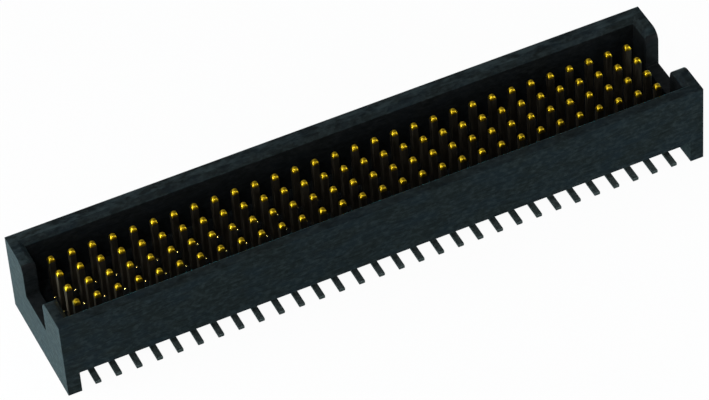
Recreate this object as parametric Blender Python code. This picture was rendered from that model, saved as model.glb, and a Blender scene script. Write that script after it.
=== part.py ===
"""Shrouded header, four rows of thirty contacts on a 1.27 mm pitch, surface mounted.

Metres, +Z up. The board is the plane z = 0, X runs along the rows, and the origin is on the board
under the middle of the contact field.
"""

import math

import bmesh
import bpy

MM = 0.001

# Contact field
COLUMNS = 30
ROWS = 4
PITCH = 1.27 * MM
ROW_PITCH = 1.27 * MM

# Moulded housing
END_MARGIN = 1.04 * MM  # centre of an end column to the inside of the end wall
SIDE_MARGIN = 1.22 * MM  # centre of an outer row to the inside of the side wall
END_WALL = 0.85 * MM
SIDE_WALL = 0.95 * MM
HOUSING_HEIGHT = 5.5 * MM
STANDOFF = 1.5 * MM  # height of the open slot for the solder feet
FLOOR_THICKNESS = 0.55 * MM
LEAD_IN = 0.31 * MM  # chamfer round the mouth of the pocket
EDGE_RADIUS = 0.08 * MM
EDGE_STEPS = 2

# Finger notch in each end wall
NOTCH_WIDTH = 2.96 * MM
NOTCH_FLOOR = 3.0 * MM  # its height over the board
NOTCH_RADIUS = 0.72 * MM  # the two rounded corners at the rim
NOTCH_STEPS = 6

# Contact, stamped from square wire
POST_SIZE = 0.4 * MM
POST_FIT = 0.02 * MM  # clearance on each side of a post in its hole
POST_TOP = 4.94 * MM
TIP_TAPER = 0.27 * MM  # height of the blunt point
TIP_SHOULDER = 0.17 * MM  # height of its steeper lower part
TIP_WAIST = 0.34 * MM
TIP_FLAT = 0.2 * MM
POST_DROP = 0.12 * MM  # how far the square section runs on under the floor
TAIL_WIDTH = 0.37 * MM
TAIL_THICKNESS = 0.22 * MM
BEND_RADIUS = 0.2 * MM  # inside the bend
BEND_STEPS = 3
FOOT_SETBACK = 0.11 * MM  # tip of an outer foot to the housing's long face
INNER_FOOT_LENGTH = 0.82 * MM  # inner post's centre to the tip of its foot

# What follows from them
HOLE_SIZE = POST_SIZE + 2 * POST_FIT
INNER_LENGTH = (COLUMNS - 1) * PITCH + 2 * END_MARGIN
INNER_WIDTH = (ROWS - 1) * ROW_PITCH + 2 * SIDE_MARGIN
HOUSING_LENGTH = INNER_LENGTH + 2 * END_WALL
HOUSING_WIDTH = INNER_WIDTH + 2 * SIDE_WALL
FLOOR_TOP = STANDOFF + FLOOR_THICKNESS
OUTER_ROW = (ROWS - 1) * ROW_PITCH / 2
OUTER_FOOT_LENGTH = HOUSING_WIDTH / 2 - FOOT_SETBACK - OUTER_ROW
OVERCUT = 1 * MM  # how far a cutter runs on past the face that it opens

BLACK = (0.014, 0.016, 0.018, 1)
GOLD = (0.75, 0.48, 0.12, 1)
TIN = (0.36, 0.35, 0.33, 1)


def clear_scene():
    for obj in list(bpy.data.objects):
        bpy.data.objects.remove(obj, do_unlink=True)


def material(name, colour, roughness, metallic):
    made = bpy.data.materials.new(name)
    made.use_nodes = True
    shader = made.node_tree.nodes["Principled BSDF"]
    shader.inputs["Base Color"].default_value = colour
    shader.inputs["Roughness"].default_value = roughness
    shader.inputs["Metallic"].default_value = metallic
    return made


def add_object(name, mesh, materials):
    for slot in materials:
        mesh.materials.append(slot)
    obj = bpy.data.objects.new(name, mesh)
    bpy.context.scene.collection.objects.link(obj)
    return obj


def mesh_from(name, bm):
    bmesh.ops.recalc_face_normals(bm, faces=bm.faces)
    mesh = bpy.data.meshes.new(name)
    bm.to_mesh(mesh)
    bm.free()
    return mesh


def loft(bm, rings, slots=()):
    """Joins rings of the same number of points and caps both ends. slots holds each band's material."""
    made = [[bm.verts.new(point) for point in ring] for ring in rings]
    count = len(made[0])
    for band, (upper, lower) in enumerate(zip(made, made[1:])):
        for i in range(count):
            j = (i + 1) % count
            face = bm.faces.new((upper[i], upper[j], lower[j], lower[i]))
            face.material_index = slots[band] if slots else 0
    first, last = bm.faces.new(made[0]), bm.faces.new(made[-1][::-1])
    if slots:
        first.material_index, last.material_index = slots[0], slots[-1]


def rectangle(half_x, half_y, z):
    return [(-half_x, -half_y, z), (half_x, -half_y, z), (half_x, half_y, z), (-half_x, half_y, z)]


def column_x(column):
    return (column - (COLUMNS - 1) / 2) * PITCH


def row_y(row):
    """Row 0 is the front row, at -Y."""
    return (row - (ROWS - 1) / 2) * ROW_PITCH


# Contact

GOLD_SLOT, TIN_SLOT = 0, 1
GOLD_BANDS = 3  # the two of the tip and that of the post


def contact_ring(width, thickness, y=0.0, z=0.0, turn=0.0):
    """A section of the wire at (y, z), turned about X by the part of the bend already made."""
    across_y, across_z = math.cos(turn), -math.sin(turn)
    ring = []
    for side_x, side in ((-1, 1), (1, 1), (1, -1), (-1, -1)):
        reach = side * thickness / 2
        ring.append((side_x * width / 2, y + reach * across_y, z + reach * across_z))
    return ring


def contact_rings(foot_length):
    """Tip to foot. The post stands on the local Z axis and the foot points to -Y."""
    turn_radius = BEND_RADIUS + TAIL_THICKNESS / 2
    rings = [
        contact_ring(TIP_FLAT, TIP_FLAT, z=POST_TOP),
        contact_ring(TIP_WAIST, TIP_WAIST, z=POST_TOP - TIP_TAPER + TIP_SHOULDER),
        contact_ring(POST_SIZE, POST_SIZE, z=POST_TOP - TIP_TAPER),
        contact_ring(POST_SIZE, POST_SIZE, z=STANDOFF - POST_DROP),
    ]
    for step in range(BEND_STEPS + 1):
        turn = math.pi / 2 * step / BEND_STEPS
        y = -turn_radius * (1 - math.cos(turn))
        z = TAIL_THICKNESS / 2 + turn_radius * (1 - math.sin(turn))
        rings.append(contact_ring(TAIL_WIDTH, TAIL_THICKNESS, y, z, turn))
    rings.append(
        contact_ring(TAIL_WIDTH, TAIL_THICKNESS, -foot_length, TAIL_THICKNESS / 2, math.pi / 2)
    )
    return rings


def add_contact(bm, foot_length, x=0.0, y=0.0, facing=1):
    """facing is 1 for a foot towards -Y and -1 for one towards +Y, the contact turned half round."""
    rings = [
        [(x + facing * px, y + facing * py, pz) for px, py, pz in ring]
        for ring in contact_rings(foot_length)
    ]
    slots = [GOLD_SLOT] * GOLD_BANDS + [TIN_SLOT] * (len(rings) - 1 - GOLD_BANDS)
    loft(bm, rings, slots)


def own_node(column, row):
    """The outer rows are objects of their own, apart from their end contacts."""
    return row in (0, ROWS - 1) and 0 < column < COLUMNS - 1


def build_outer_contacts(materials):
    bm = bmesh.new()
    add_contact(bm, OUTER_FOOT_LENGTH)
    shared = mesh_from("outer_contact", bm)
    for slot in materials:
        shared.materials.append(slot)
    for column in range(COLUMNS):
        for row, side, turned in ((0, "front", 0.0), (ROWS - 1, "back", math.pi)):
            if not own_node(column, row):
                continue
            contact = add_object(f"{side}_contact_{column + 1:02d}", shared, ())
            contact.location = (column_x(column), row_y(row), 0)
            contact.rotation_euler.z = turned


def moulded_in_contacts():
    """The contacts that are one body with the housing: both inner rows and the four corners."""
    bm = bmesh.new()
    for column in range(COLUMNS):
        for row in range(ROWS):
            if own_node(column, row):
                continue
            outer = row in (0, ROWS - 1)
            length = OUTER_FOOT_LENGTH if outer else INNER_FOOT_LENGTH
            facing = 1 if row < ROWS / 2 else -1
            add_contact(bm, length, column_x(column), row_y(row), facing)
    return mesh_from("moulded_in_contacts", bm)


# Housing


def housing_block():
    bm = bmesh.new()
    half = (HOUSING_LENGTH / 2, HOUSING_WIDTH / 2)
    loft(bm, [rectangle(*half, HOUSING_HEIGHT), rectangle(*half, 0)])
    bmesh.ops.bevel(
        bm,
        geom=bm.edges[:],
        offset=EDGE_RADIUS,
        segments=EDGE_STEPS,
        profile=0.5,
        affect="EDGES",
        clamp_overlap=True,
    )
    return mesh_from("housing", bm)


def pocket_cutter():
    """The pocket, flared at 45 degrees round its mouth."""
    half_x, half_y = INNER_LENGTH / 2, INNER_WIDTH / 2
    flare = LEAD_IN + OVERCUT
    bm = bmesh.new()
    loft(
        bm,
        [
            rectangle(half_x + flare, half_y + flare, HOUSING_HEIGHT + OVERCUT),
            rectangle(half_x, half_y, HOUSING_HEIGHT - LEAD_IN),
            rectangle(half_x, half_y, FLOOR_TOP),
        ],
    )
    return mesh_from("pocket_cutter", bm)


def notch_outline():
    """Half of the notch, from the middle of its floor to above the rim, as (y, z)."""
    outline = [(NOTCH_WIDTH / 2, NOTCH_FLOOR)]
    centre_y = NOTCH_WIDTH / 2 + NOTCH_RADIUS
    centre_z = HOUSING_HEIGHT - NOTCH_RADIUS
    for step in range(NOTCH_STEPS + 1):
        angle = math.pi / 2 * step / NOTCH_STEPS
        outline.append(
            (centre_y - NOTCH_RADIUS * math.cos(angle), centre_z + NOTCH_RADIUS * math.sin(angle))
        )
    outline.append((centre_y, HOUSING_HEIGHT + OVERCUT))
    return outline


def notch_cutter():
    """One bar along X that cuts the notches of both end walls."""
    half = notch_outline()
    outline = half + [(-y, z) for y, z in reversed(half)]
    reach = HOUSING_LENGTH / 2 + OVERCUT
    bm = bmesh.new()
    loft(bm, [[(x, y, z) for y, z in outline] for x in (-reach, reach)])
    return mesh_from("notch_cutter", bm)


def slot_cutter():
    """The open slot under the floor, between the two end walls."""
    half = (INNER_LENGTH / 2, HOUSING_WIDTH / 2 + OVERCUT)
    bm = bmesh.new()
    loft(bm, [rectangle(*half, STANDOFF), rectangle(*half, -OVERCUT)])
    return mesh_from("slot_cutter", bm)


def hole_cutter():
    """A square hole through the floor for each contact that is an object of its own."""
    bm = bmesh.new()
    for column in range(COLUMNS):
        for row in range(ROWS):
            if not own_node(column, row):
                continue
            corners = rectangle(HOLE_SIZE / 2, HOLE_SIZE / 2, 0)
            moved = [(x + column_x(column), y + row_y(row)) for x, y, _ in corners]
            ends = (FLOOR_TOP + OVERCUT, STANDOFF - OVERCUT)
            loft(bm, [[(x, y, z) for x, y in moved] for z in ends])
    return mesh_from("hole_cutter", bm)


def combine(target, operation, name, mesh, materials):
    helper = add_object(name, mesh, materials)
    helper.hide_render = True
    helper.display_type = "WIRE"
    modifier = target.modifiers.new(name, "BOOLEAN")
    modifier.operation = operation
    modifier.object = helper
    modifier.solver = "EXACT"


def build_housing(plastic, contact_materials):
    housing = add_object("housing", housing_block(), [plastic])
    for name, mesh in (
        ("pocket_cutter", pocket_cutter()),
        ("notch_cutter", notch_cutter()),
        ("slot_cutter", slot_cutter()),
        ("hole_cutter", hole_cutter()),
    ):
        combine(housing, "DIFFERENCE", name, mesh, [plastic])
    combine(housing, "UNION", "moulded_in_contacts", moulded_in_contacts(), contact_materials)


def main():
    clear_scene()
    plastic = material("black_plastic", BLACK, 0.5, 0.0)
    contact_materials = [material("gold_plate", GOLD, 0.25, 1.0), material("tin_plate", TIN, 0.35, 1.0)]
    build_housing(plastic, contact_materials)
    build_outer_contacts(contact_materials)


main()
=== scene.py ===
"""Looks of the shrouded header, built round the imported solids.

Metres, +Z up, the board's plane at z = 0.
"""

import math

import bmesh
import bpy
from mathutils import Matrix, Vector


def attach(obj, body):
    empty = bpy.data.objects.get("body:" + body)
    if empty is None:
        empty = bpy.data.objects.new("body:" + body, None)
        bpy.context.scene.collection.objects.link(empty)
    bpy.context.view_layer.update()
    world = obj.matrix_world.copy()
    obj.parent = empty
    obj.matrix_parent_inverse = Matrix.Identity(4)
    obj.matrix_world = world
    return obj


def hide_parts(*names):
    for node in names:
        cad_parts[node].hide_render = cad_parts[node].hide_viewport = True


MM = 0.001

# Camera, as the photograph was taken
LENS = 215.9
CAMERA_AZIMUTH = -21.945  # degrees, to the left of straight ahead
CAMERA_ELEVATION = 44.690
CAMERA_ROLL = 4.530
CAMERA_DISTANCE = 249.870 * MM
CAMERA_TARGET = Vector((0.604, 2.463, 0.0)) * MM
CAMERA_CLIP = 0.01, 10

# Contact field
COLUMNS = 30
ROWS = 4
PITCH = 1.27 * MM

# Housing, as the solids have it
HALF_LENGTH = 20.305 * MM
HALF_WIDTH = 4.075 * MM
INNER_HALF_LENGTH = 19.455 * MM
INNER_HALF_WIDTH = 3.125 * MM
HEIGHT = 5.5 * MM
STANDOFF = 1.5 * MM
FLOOR_TOP = 2.05 * MM
LEAD_IN = 0.31 * MM
NOTCH_HALF_WIDTH = 1.48 * MM
NOTCH_FLOOR = 3.0 * MM
NOTCH_RADIUS = 0.72 * MM
NOTCH_STEPS = 12
OVERCUT = 1 * MM  # how far a cutter reaches past what it cuts

# Studio
SKY_STRENGTH = 0.85
DIM_PLACE = Vector((0.6, 0.0, 0.8)).normalized()  # the dark part of the sky
DIM_STRENGTH = 0.1
DIM_SPAN = 0.25, 0.9  # cosines of the angle to it at which the dimming starts and ends
FLOOR_RADIUS = 1.5
FLOOR_SEGMENTS = 64
FLOOR_COLOUR = (0.76, 0.82, 0.84, 1)
FLOOR_GLOW = 0.96  # how far the floor is white to the camera
FLOOR_GLOW_MIRRORED = 0.6  # and how far it glows in a reflection
FLOOR_MIRRORED = (0.58, 0.93, 1.0)  # its colour in a reflection
# Square lamps that look at the origin: name, direction, distance, side, power
LAMPS = (
    ("key", (-0.75, 0.1, 0.6), 0.7, 0.35, 0.6),
    ("left_card", (-0.98, 0.0, 0.2), 0.056, 0.02, 0.02),
    ("right_card", (0.88, -0.45, 0.2), 0.062, 0.02, 0.01),
    ("fill", (0.6, -0.8, 0.5), 0.8, 1.2, 1.5),
    ("spark", (-0.383, -0.511, 0.767), 0.356, 0.02, 0.2),
)

# Finish of the moulding
EDGE_RADIUS = 0.035 * MM
EDGE_STEPS = 3
EDGE_ANGLE = 30  # degrees; a sharper edge is rounded
HOUSING_SMOOTH_ANGLE = 35
FACING_SIDE = 0.5  # how far a face's normal leans to the side or down, for one that faces there
UPRIGHT = 0.3  # how far the normal of a wall may lean up or down
HOLE_SIZE = 0.44 * MM
HOLE_MOUTH = 0.8 * MM  # square counterbore round each contact
HOLE_MOUTH_DEPTH = 0.15 * MM

# Tones of the mouldings: dark, pale, clouded, grained, scratched, and a pale tone for a painted
# highlight on faces that look up
OUTER_TONES = (
    (0.0028, 0.0050, 0.0052),
    (0.0088, 0.0130, 0.0134),
    (0.0052, 0.0106, 0.0146),
    (0.0190, 0.0280, 0.0300),
    (0.0022, 0.0037, 0.0040),
    # the painted highlight on faces that look up
    (0.0265, 0.0405, 0.0445),
)
OUTER_SHEEN = 0.05
# Darker tones, with no sheen, for the faces of the pocket and the notches: painted shade of the
# recesses
RECESS_SHADE_TONES = (
    (0.0034, 0.0044, 0.0047),
    (0.0078, 0.0092, 0.0096),
    (0.0056, 0.0073, 0.0087),
    (0.0118, 0.0138, 0.0147),
    (0.0028, 0.0036, 0.0039),
    # the painted highlight on faces that look up, in the recesses
    (0.0096, 0.0114, 0.0124),
)
RECESS_SHADE_SHEEN = 0.0
SHEEN_ROUGHNESS = 0.22
SHEEN_TINT = (0.1, 0.85, 1.0, 1)
PLASTIC_SPECULAR = 0.05

# Noise of the surfaces: cells a millimetre along x, y and z
CLOUD_CELLS = (0.5, 0.9, 0.9)
MOTTLE_CELLS = (2.2, 3.0, 3.0)
STREAK_CELLS = (0.9, 0.9, 6.5)
GRAIN_CELLS = (2.8, 4.6, 4.6)
# blotches of the painted highlight on faces that look up
PAINTED_HIGHLIGHT_CELLS = (0.9, 2.4, 2.4)
DRAWN_CELLS = (6.0, 6.0, 1.0)
BLOTCH_CELLS = (5.0, 4.0, 5.0)
TIN_GRAIN_CELLS = (16.0, 16.0, 16.0)

# Contact
POST_SIZE = 0.4 * MM
POST_TOP = 4.94 * MM
POST_CORNER = 0.045 * MM
POST_DROP = 0.12 * MM  # how far the square post runs on under the floor
TAIL_WIDTH = 0.37 * MM
TAIL_THICKNESS = 0.22 * MM
TAIL_CORNER = 0.035 * MM
BEND_RADIUS = 0.2 * MM
BEND_STEPS = 7
OUTER_FOOT_LENGTH = 2.06 * MM
INNER_FOOT_LENGTH = 0.82 * MM
FOOT_BEVEL = 0.02 * MM
CORNER_STEPS = 3
CONTACT_SMOOTH_ANGLE = 40
SHEARED_AND_SHADED_BELOW = 0.6  # a face of the tail whose normal points up by less takes the darker tin: the cut faces, and painted shade on the faces that look sideways or down
# The tip from its end down: depth below the top, size, corner radius as a share of half the size
TIP = (
    (0.000, 0.090, 0.95),
    (0.006, 0.160, 0.95),
    (0.022, 0.225, 0.9),
    (0.050, 0.282, 0.8),
    (0.090, 0.330, 0.68),
    (0.140, 0.366, 0.52),
    (0.200, 0.390, 0.35),
    (0.270, 0.400, 0.225),
)
GOLD_END = 4.66 * MM  # the thick gold of the tip ends here, and the posts below take a darker tone that is partly painted shade
# The barb that holds the post, its end showing in the counterbore: size and height of each section
BARB = ((0.035, 1.995), (0.150, 1.943), (0.155, 1.91))
BARB_ROUND = 0.9  # corner radius as a share of half its size
BARB_PLACE = 0.135 * MM, 0.215 * MM  # on the side away from the foot


def new_material(name):
    made = bpy.data.materials.new(name)
    made.use_nodes = True
    return made, made.node_tree.nodes, made.node_tree.links


def node(nodes, kind, **values):
    made = nodes.new(kind)
    for key, value in values.items():
        setattr(made, key, value)
    return made


def object_coordinates(nodes, links, scale):
    """Object coordinates times scale, one number a millimetre at a scale of 1."""
    place = node(nodes, "ShaderNodeTexCoord")
    mapping = node(nodes, "ShaderNodeMapping")
    mapping.inputs["Scale"].default_value = [s / MM for s in scale]
    links.new(place.outputs["Object"], mapping.inputs["Vector"])
    return mapping.outputs["Vector"]


def noise(nodes, links, scale, detail=3.0, rough=0.5):
    made = node(nodes, "ShaderNodeTexNoise")
    made.inputs["Scale"].default_value = 1.0
    made.inputs["Detail"].default_value = detail
    made.inputs["Roughness"].default_value = rough
    links.new(object_coordinates(nodes, links, scale), made.inputs["Vector"])
    return made.outputs["Fac"]


def remap(nodes, links, value, low, high, to_low=0.0, to_high=1.0):
    made = node(nodes, "ShaderNodeMapRange")
    for name, number in (
        ("From Min", low),
        ("From Max", high),
        ("To Min", to_low),
        ("To Max", to_high),
    ):
        made.inputs[name].default_value = number
    links.new(value, made.inputs["Value"])
    return made.outputs["Result"]


def mix_colour(nodes, links, factor, a, b):
    made = node(nodes, "ShaderNodeMix", data_type="RGBA")
    links.new(factor, made.inputs["Factor"])
    for socket, colour in zip(made.inputs[6:8], (a, b)):
        if isinstance(colour, tuple):
            socket.default_value = (*colour, 1)
        else:
            links.new(colour, socket)
    return made.outputs[2]


def product(nodes, links, *values):
    total = values[0]
    for value in values[1:]:
        made = node(nodes, "ShaderNodeMath", operation="MULTIPLY")
        links.new(total, made.inputs[0])
        links.new(value, made.inputs[1])
        total = made.outputs[0]
    return total


def painted_highlight_share(nodes, links):
    """Where a painted highlight lies: pale blotches on faces that look up, most of them at the
    back.
    """
    facing = node(nodes, "ShaderNodeSeparateXYZ")
    links.new(node(nodes, "ShaderNodeNewGeometry").outputs["Normal"], facing.inputs["Vector"])
    place = node(nodes, "ShaderNodeSeparateXYZ")
    links.new(object_coordinates(nodes, links, (1, 1, 1)), place.inputs["Vector"])
    blotch = noise(nodes, links, PAINTED_HIGHLIGHT_CELLS, detail=4.0, rough=0.65)
    return product(
        nodes,
        links,
        remap(nodes, links, facing.outputs["Z"], 0.6, 0.95),
        remap(nodes, links, place.outputs["Y"], -3.0, 3.0, 0.2, 1.0),
        remap(nodes, links, blotch, 0.44, 0.62, 0.0, 0.75),
    )


def bump(nodes, links, height, strength, distance, normal=None):
    made = node(nodes, "ShaderNodeBump")
    made.inputs["Strength"].default_value = strength
    made.inputs["Distance"].default_value = distance
    links.new(height, made.inputs["Height"])
    if normal:
        links.new(normal, made.inputs["Normal"])
    return made.outputs["Normal"]


def plastic_material(name, tones, sheen):
    """Moulded plastic in the six tones, each over the last where its noise says so; the sixth is a
    painted highlight on faces that look up.
    """
    dark, pale, clouded, grained, scratched, painted_highlight_tone = tones
    made, nodes, links = new_material(name)
    shader = nodes["Principled BSDF"]
    cloud = noise(nodes, links, CLOUD_CELLS, detail=3.0, rough=0.6)
    mottle = noise(nodes, links, MOTTLE_CELLS, detail=4.0, rough=0.7)
    streak = noise(nodes, links, STREAK_CELLS, detail=3.0, rough=0.6)
    grain = noise(nodes, links, GRAIN_CELLS, detail=3.0, rough=0.6)
    shade = mix_colour(nodes, links, remap(nodes, links, mottle, 0.3, 0.7), dark, pale)
    for value, low, high, to_low, to_high, tone in (
        (cloud, 0.42, 0.62, 0.0, 0.75, clouded),
        (grain, 0.46, 0.70, 0.0, 0.7, grained),
        (streak, 0.32, 0.46, 0.6, 0.0, scratched),
    ):
        share = remap(nodes, links, value, low, high, to_low, to_high)
        shade = mix_colour(nodes, links, share, shade, tone)
    # painted highlight: the pale tone over faces that look up, stronger towards the back
    shade = mix_colour(nodes, links, painted_highlight_share(nodes, links), shade, painted_highlight_tone)
    links.new(shade, shader.inputs["Base Color"])
    links.new(remap(nodes, links, mottle, 0.3, 0.7, 0.34, 0.46), shader.inputs["Roughness"])
    shader.inputs["Specular IOR Level"].default_value = PLASTIC_SPECULAR
    shader.inputs["Sheen Weight"].default_value = sheen
    shader.inputs["Sheen Roughness"].default_value = SHEEN_ROUGHNESS
    shader.inputs["Sheen Tint"].default_value = SHEEN_TINT
    normal = bump(nodes, links, streak, 0.5, 0.04 * MM)
    normal = bump(nodes, links, grain, 0.25, 0.008 * MM, normal)
    links.new(normal, shader.inputs["Normal"])
    return made


def wire_material(name, dark, pale, low_roughness, high_roughness):
    """Drawn and plated wire."""
    made, nodes, links = new_material(name)
    shader = nodes["Principled BSDF"]
    shader.inputs["Metallic"].default_value = 1.0
    drawn = noise(nodes, links, DRAWN_CELLS, detail=3.0)
    links.new(
        mix_colour(nodes, links, remap(nodes, links, drawn, 0.35, 0.65), dark, pale),
        shader.inputs["Base Color"],
    )
    roughness = remap(nodes, links, drawn, 0.35, 0.65, low_roughness, high_roughness)
    links.new(roughness, shader.inputs["Roughness"])
    links.new(bump(nodes, links, drawn, 0.12, 0.004 * MM), shader.inputs["Normal"])
    return made


def tin_material(name, dark, pale):
    made, nodes, links = new_material(name)
    shader = nodes["Principled BSDF"]
    shader.inputs["Metallic"].default_value = 0.45
    blotch = noise(nodes, links, BLOTCH_CELLS, detail=4.0, rough=0.6)
    grain = noise(nodes, links, TIN_GRAIN_CELLS, detail=2.0)
    links.new(
        mix_colour(nodes, links, remap(nodes, links, blotch, 0.35, 0.65), dark, pale),
        shader.inputs["Base Color"],
    )
    links.new(remap(nodes, links, blotch, 0.3, 0.7, 0.5, 0.7), shader.inputs["Roughness"])
    normal = bump(nodes, links, blotch, 0.4, 0.015 * MM)
    normal = bump(nodes, links, grain, 0.5, 0.010 * MM, normal)
    links.new(normal, shader.inputs["Normal"])
    return made


def add_object(name, mesh, materials):
    for slot in materials:
        mesh.materials.append(slot)
    obj = bpy.data.objects.new(name, mesh)
    bpy.context.scene.collection.objects.link(obj)
    return obj


def mesh_from(name, bm):
    bmesh.ops.recalc_face_normals(bm, faces=bm.faces)
    mesh = bpy.data.meshes.new(name)
    bm.to_mesh(mesh)
    bm.free()
    return mesh


def loft(bm, rings, slots=()):
    """Joins rings of the same number of points and caps both ends."""
    made = [[bm.verts.new(point) for point in ring] for ring in rings]
    count = len(made[0])
    for band, (upper, lower) in enumerate(zip(made, made[1:])):
        for i in range(count):
            j = (i + 1) % count
            face = bm.faces.new((upper[i], upper[j], lower[j], lower[i]))
            face.material_index = slots[band] if slots else 0
    first, last = bm.faces.new(made[0]), bm.faces.new(made[-1][::-1])
    if slots:
        first.material_index, last.material_index = slots[0], slots[-1]


def rectangle(half_x, half_y, z):
    return [(-half_x, -half_y, z), (half_x, -half_y, z), (half_x, half_y, z), (-half_x, half_y, z)]


def column_x(column):
    return (column - (COLUMNS - 1) / 2) * PITCH


def row_y(row):
    return (row - (ROWS - 1) / 2) * PITCH


# Housing


def box_bm(half_x, half_y, top, bottom):
    bm = bmesh.new()
    loft(bm, [rectangle(half_x, half_y, top), rectangle(half_x, half_y, bottom)])
    return bm


def pocket_bm():
    flare = LEAD_IN + OVERCUT
    bm = bmesh.new()
    loft(
        bm,
        [
            rectangle(INNER_HALF_LENGTH + flare, INNER_HALF_WIDTH + flare, HEIGHT + OVERCUT),
            rectangle(INNER_HALF_LENGTH, INNER_HALF_WIDTH, HEIGHT - LEAD_IN),
            rectangle(INNER_HALF_LENGTH, INNER_HALF_WIDTH, FLOOR_TOP),
        ],
    )
    return bm


def notch_bm():
    half = [(NOTCH_HALF_WIDTH, NOTCH_FLOOR)]
    centre_y, centre_z = NOTCH_HALF_WIDTH + NOTCH_RADIUS, HEIGHT - NOTCH_RADIUS
    for step in range(NOTCH_STEPS + 1):
        angle = math.pi / 2 * step / NOTCH_STEPS
        half.append(
            (centre_y - NOTCH_RADIUS * math.cos(angle), centre_z + NOTCH_RADIUS * math.sin(angle))
        )
    half.append((centre_y, HEIGHT + OVERCUT))
    outline = half + [(-y, z) for y, z in reversed(half)]
    reach = HALF_LENGTH + OVERCUT
    bm = bmesh.new()
    loft(bm, [[(x, y, z) for y, z in outline] for x in (-reach, reach)])
    return bm


def holes_bm():
    """A square hole for each contact, counterbored from above."""
    bm = bmesh.new()
    for column in range(COLUMNS):
        for row in range(ROWS):
            rings = []
            for size, z in (
                (HOLE_MOUTH, FLOOR_TOP + OVERCUT),
                (HOLE_MOUTH, FLOOR_TOP - HOLE_MOUTH_DEPTH),
                (HOLE_SIZE, FLOOR_TOP - HOLE_MOUTH_DEPTH),
                (HOLE_SIZE, STANDOFF - OVERCUT),
            ):
                square = rectangle(size / 2, size / 2, z)
                rings.append([(x + column_x(column), y + row_y(row), z) for x, y, z in square])
            loft(bm, rings)
    return bm


def evaluated_mesh(obj):
    graph = bpy.context.evaluated_depsgraph_get()
    return bpy.data.meshes.new_from_object(obj.evaluated_get(graph), depsgraph=graph)


def cut(target, cutters):
    """The target's mesh with the cutters taken away."""
    helpers = []
    for name, bm in cutters:
        helper = add_object(name, mesh_from(name, bm), [])
        helpers.append(helper)
        modifier = target.modifiers.new(name, "BOOLEAN")
        modifier.operation = "DIFFERENCE"
        modifier.object = helper
        modifier.solver = "EXACT"
    bpy.context.view_layer.update()
    mesh = evaluated_mesh(target)
    target.modifiers.clear()
    target.data = mesh
    for helper in helpers:
        bpy.data.objects.remove(helper)


def is_painted_shade_face(face):
    """Whether the face takes the darker tones of painted shade: the pocket's and notches' walls
    and floors.
    """
    x, y, z = face.center
    normal = face.normal
    if z < STANDOFF + EDGE_RADIUS or normal.z < -FACING_SIDE:
        return False
    if abs(y) < NOTCH_HALF_WIDTH + NOTCH_RADIUS / 4 and abs(normal.x) < FACING_SIDE:
        return True
    margin = LEAD_IN / 2
    if abs(x) >= INNER_HALF_LENGTH + margin or abs(y) >= INNER_HALF_WIDTH + margin:
        return False
    return abs(normal.z) < UPRIGHT or z < HEIGHT / 2


def build_housing(outer, recess_shade):
    shell = add_object(
        "housing_shell", mesh_from("housing_shell", box_bm(HALF_LENGTH, HALF_WIDTH, HEIGHT, 0)), []
    )
    slot = box_bm(INNER_HALF_LENGTH, HALF_WIDTH + OVERCUT, STANDOFF, -OVERCUT)
    cut(shell, (("pocket", pocket_bm()), ("notch", notch_bm()), ("slot", slot)))
    edges = shell.modifiers.new("edges", "BEVEL")
    edges.width = EDGE_RADIUS
    edges.segments = EDGE_STEPS
    edges.limit_method = "ANGLE"
    edges.angle_limit = math.radians(EDGE_ANGLE)
    edges.miter_outer = "MITER_ARC"
    bpy.context.view_layer.update()
    shell.data = evaluated_mesh(shell)
    shell.modifiers.clear()
    cut(shell, (("holes", holes_bm()),))
    shell.data.materials.clear()
    shell.data.materials.append(outer)
    shell.data.materials.append(recess_shade)
    for face in shell.data.polygons:
        # the pocket's and notches' faces take the darker tones, painted shade
        face.material_index = int(is_painted_shade_face(face))
    smooth_by_angle(shell, HOUSING_SMOOTH_ANGLE)
    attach(shell, "root")
    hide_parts("housing")


def smooth_by_angle(obj, degrees):
    mesh = obj.data
    mesh.shade_smooth()
    bm = bmesh.new()
    bm.from_mesh(mesh)
    limit = math.radians(degrees)
    for edge in bm.edges:
        edge.smooth = len(edge.link_faces) == 2 and edge.calc_face_angle() < limit
    bm.to_mesh(mesh)
    bm.free()
    weighted = obj.modifiers.new("weighted", "WEIGHTED_NORMAL")
    weighted.keep_sharp = True


# Contacts

# The places of a contact's materials in the list that build_contacts gets
GOLD_SLOT, POST_SLOT, BARB_SLOT, TIN_SLOT, SHEARED_AND_SHADED_SLOT = range(5)


def rounded_section(width, thickness, corner):
    """A rounded rectangle as (across, through) points."""
    points = []
    for side_x, side_y, start in ((1, 1, 0), (-1, 1, 90), (-1, -1, 180), (1, -1, 270)):
        for step in range(CORNER_STEPS + 1):
            angle = math.radians(start + 90 * step / CORNER_STEPS)
            points.append(
                (
                    side_x * (width / 2 - corner) + corner * math.cos(angle),
                    side_y * (thickness / 2 - corner) + corner * math.sin(angle),
                )
            )
    return points


def wire_ring(width, thickness, corner, y=0.0, z=0.0, turn=0.0):
    across_y, across_z = math.cos(turn), -math.sin(turn)
    return [
        (px, y + py * across_y, z + py * across_z)
        for px, py in rounded_section(width, thickness, corner)
    ]


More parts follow.
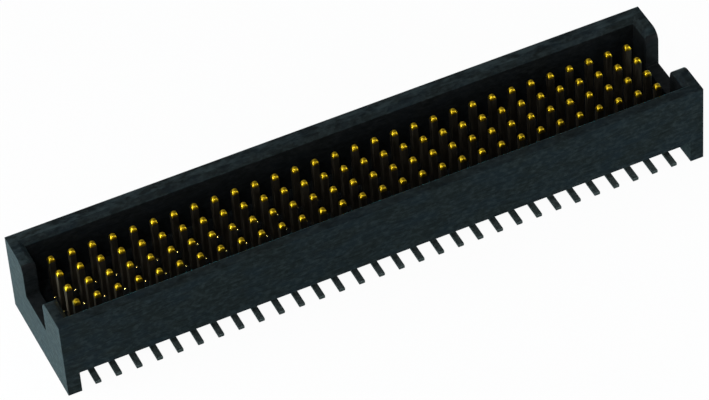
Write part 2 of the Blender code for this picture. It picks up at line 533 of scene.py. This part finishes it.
def contact_rings(foot_length):
    """The sections of a contact from its tip to its foot, and the material under each."""
    rings, slots = [], []

    def add(slot, width, thickness, corner, **place):
        rings.append(wire_ring(width, thickness, corner, **place))
        slots.append(slot)

    for depth, size, share in TIP:
        size *= MM
        add(GOLD_SLOT, size, size, share * size / 2, z=POST_TOP - depth * MM)
    add(POST_SLOT, POST_SIZE, POST_SIZE, POST_CORNER, z=GOLD_END)
    add(TIN_SLOT, POST_SIZE, POST_SIZE, POST_CORNER, z=STANDOFF - POST_DROP)
    tail = TAIL_WIDTH, TAIL_THICKNESS, TAIL_CORNER
    centre = TAIL_THICKNESS / 2
    turn_radius = BEND_RADIUS + centre
    for step in range(BEND_STEPS + 1):
        turn = math.pi / 2 * step / BEND_STEPS
        y = -turn_radius * (1 - math.cos(turn))
        z = centre + turn_radius * (1 - math.sin(turn))
        add(TIN_SLOT, *tail, y=y, z=z, turn=turn)
    add(TIN_SLOT, *tail, y=-foot_length + FOOT_BEVEL, z=centre, turn=math.pi / 2)
    width, thickness = TAIL_WIDTH - 2 * FOOT_BEVEL, TAIL_THICKNESS - 2 * FOOT_BEVEL
    corner = TAIL_CORNER - FOOT_BEVEL / 2
    add(TIN_SLOT, width, thickness, corner, y=-foot_length, z=centre, turn=math.pi / 2)
    return rings, slots


def barb_rings():
    """The sections of the barb's end, from its top down."""
    rings = []
    for size, height in BARB:
        size *= MM
        ring = wire_ring(size, size, BARB_ROUND * size / 2, y=BARB_PLACE[1], z=height * MM)
        rings.append([(BARB_PLACE[0] + x, y, z) for x, y, z in ring])
    return rings


def build_contact(name, column, row, materials):
    """One contact, its foot to the nearer long side of the housing."""
    outer = row in (0, ROWS - 1)
    facing = 1 if row < ROWS / 2 else -1
    rings, slots = contact_rings(OUTER_FOOT_LENGTH if outer else INNER_FOOT_LENGTH)
    x, y = column_x(column), row_y(row)
    bm = bmesh.new()
    for part, kinds in ((rings, slots), (barb_rings(), [BARB_SLOT] * len(BARB))):
        placed = [[(x + facing * px, y + facing * py, pz) for px, py, pz in ring] for ring in part]
        loft(bm, placed, kinds)
    bmesh.ops.recalc_face_normals(bm, faces=bm.faces)
    for face in bm.faces:
        # darker tin on faces that look sideways or down: the cut faces, and painted shade
        if face.material_index == TIN_SLOT and face.normal.z < SHEARED_AND_SHADED_BELOW:
            face.material_index = SHEARED_AND_SHADED_SLOT
    contact = add_object(name, mesh_from(name, bm), materials)
    smooth_by_angle(contact, CONTACT_SMOOTH_ANGLE)
    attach(contact, "root")
    return contact


def build_contacts(materials):
    sides = ("front", "inner_front", "inner_back", "back")
    for row, side in enumerate(sides):
        for column in range(COLUMNS):
            contact = build_contact(f"{side}_pin_{column + 1:02d}", column, row, materials)
            carried = f"{side}_contact_{column + 1:02d}"
            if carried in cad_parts:
                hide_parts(carried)


# Studio


def floor_glow(nodes, links):
    """How white the floor is: the backdrop of the camera, and of glossy and transmission rays."""
    path = node(nodes, "ShaderNodeLightPath")
    total = remap(nodes, links, path.outputs["Is Camera Ray"], 0.0, 1.0, 0.0, FLOOR_GLOW)
    for name in ("Is Glossy Ray", "Is Transmission Ray"):
        joined = node(nodes, "ShaderNodeMath", operation="MAXIMUM")
        links.new(total, joined.inputs[0])
        mirrored = remap(nodes, links, path.outputs[name], 0.0, 1.0, 0.0, FLOOR_GLOW_MIRRORED)
        links.new(mirrored, joined.inputs[1])
        total = joined.outputs[0]
    return total


def build_world():
    world = bpy.data.worlds.new("studio")
    bpy.context.scene.world = world
    world.use_nodes = True
    nodes, links = world.node_tree.nodes, world.node_tree.links
    background = nodes["Background"]
    background.inputs["Color"].default_value = (1, 1, 1, 1)
    nearness = node(nodes, "ShaderNodeVectorMath", operation="DOT_PRODUCT")
    links.new(node(nodes, "ShaderNodeTexCoord").outputs["Generated"], nearness.inputs[0])
    nearness.inputs[1].default_value = DIM_PLACE
    strength = remap(
        nodes, links, nearness.outputs["Value"], *DIM_SPAN, SKY_STRENGTH, DIM_STRENGTH
    )
    links.new(strength, background.inputs["Strength"])


def build_floor():
    bm = bmesh.new()
    bmesh.ops.create_circle(bm, cap_ends=True, segments=FLOOR_SEGMENTS, radius=FLOOR_RADIUS)
    floor = add_object("studio_floor", mesh_from("studio_floor", bm), [])
    made, nodes, links = new_material("studio_floor")
    shader = nodes["Principled BSDF"]
    shader.inputs["Base Color"].default_value = FLOOR_COLOUR
    shader.inputs["Roughness"].default_value = 0.9
    shader.inputs["Specular IOR Level"].default_value = 0.0
    glow = node(nodes, "ShaderNodeEmission")
    mirrored = node(nodes, "ShaderNodeLightPath").outputs["Is Glossy Ray"]
    tone = mix_colour(nodes, links, mirrored, (1.0, 1.0, 1.0), FLOOR_MIRRORED)
    links.new(tone, glow.inputs["Color"])
    mixed = node(nodes, "ShaderNodeMixShader")
    links.new(floor_glow(nodes, links), mixed.inputs[0])
    links.new(shader.outputs[0], mixed.inputs[1])
    links.new(glow.outputs[0], mixed.inputs[2])
    links.new(mixed.outputs[0], nodes["Material Output"].inputs["Surface"])
    floor.data.materials.append(made)


def soft_lamp(name, direction, distance, size, power):
    lamp = bpy.data.lights.new(name, "AREA")
    lamp.shape = "SQUARE"
    lamp.size = size
    lamp.energy = power
    obj = bpy.data.objects.new(name, lamp)
    bpy.context.scene.collection.objects.link(obj)
    away = Vector(direction).normalized()
    obj.location = away * distance
    obj.rotation_mode = "QUATERNION"
    obj.rotation_quaternion = away.to_track_quat("Z", "Y")


def build_camera():
    azimuth, elevation = math.radians(CAMERA_AZIMUTH), math.radians(CAMERA_ELEVATION)
    back = Vector(
        (
            math.sin(azimuth) * math.cos(elevation),
            -math.cos(azimuth) * math.cos(elevation),
            math.sin(elevation),
        )
    )
    data = bpy.data.cameras.new("camera")
    data.lens = LENS
    data.clip_start, data.clip_end = CAMERA_CLIP
    camera = bpy.data.objects.new("camera", data)
    bpy.context.scene.collection.objects.link(camera)
    level = back.to_track_quat("Z", "Y").to_matrix()
    roll = Matrix.Rotation(-math.radians(CAMERA_ROLL), 3, back)
    camera.matrix_world = Matrix.Translation(CAMERA_TARGET + back * CAMERA_DISTANCE) @ (
        roll @ level
    ).to_4x4()
    bpy.context.scene.camera = camera


for start_object in [o for o in bpy.data.objects if o.type in ("MESH", "LIGHT", "CAMERA")]:
    bpy.data.objects.remove(start_object)
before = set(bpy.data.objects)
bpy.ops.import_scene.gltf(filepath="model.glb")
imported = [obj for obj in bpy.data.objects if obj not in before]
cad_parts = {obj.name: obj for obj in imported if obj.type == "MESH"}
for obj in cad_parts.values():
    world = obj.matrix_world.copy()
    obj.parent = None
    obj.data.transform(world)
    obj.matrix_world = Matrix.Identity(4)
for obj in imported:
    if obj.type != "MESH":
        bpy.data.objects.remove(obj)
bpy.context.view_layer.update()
build_camera()
build_world()
build_floor()
for lamp_values in LAMPS:
    soft_lamp(*lamp_values)
build_housing(
    plastic_material("black_moulding", OUTER_TONES, OUTER_SHEEN),
    # painted shade of the pocket and the notches
    plastic_material("recess_painted_shade", RECESS_SHADE_TONES, RECESS_SHADE_SHEEN),
)
build_contacts(
    [
        wire_material("gold_plating", (0.43, 0.290, 0.010), (0.57, 0.400, 0.017), 0.30, 0.38),
        # the posts' tone is darker than plated metal: partly the plating, partly painted shade of
        # the pocket
        wire_material("post_plating_and_painted_shade", (0.112, 0.098, 0.072), (0.160, 0.141, 0.106), 0.4, 0.48),
        wire_material("barb_plating", (0.34, 0.28, 0.08), (0.46, 0.38, 0.12), 0.22, 0.28),
        tin_material("tin_plating", (0.041, 0.058, 0.058), (0.078, 0.105, 0.104)),
        # darker tin: the bare cut faces, and painted shade on faces that look sideways or down
        tin_material("sheared_edge_and_painted_shade", (0.019, 0.026, 0.023), (0.036, 0.047, 0.042)),
    ]
)
bpy.context.scene.view_settings.view_transform = "Standard"
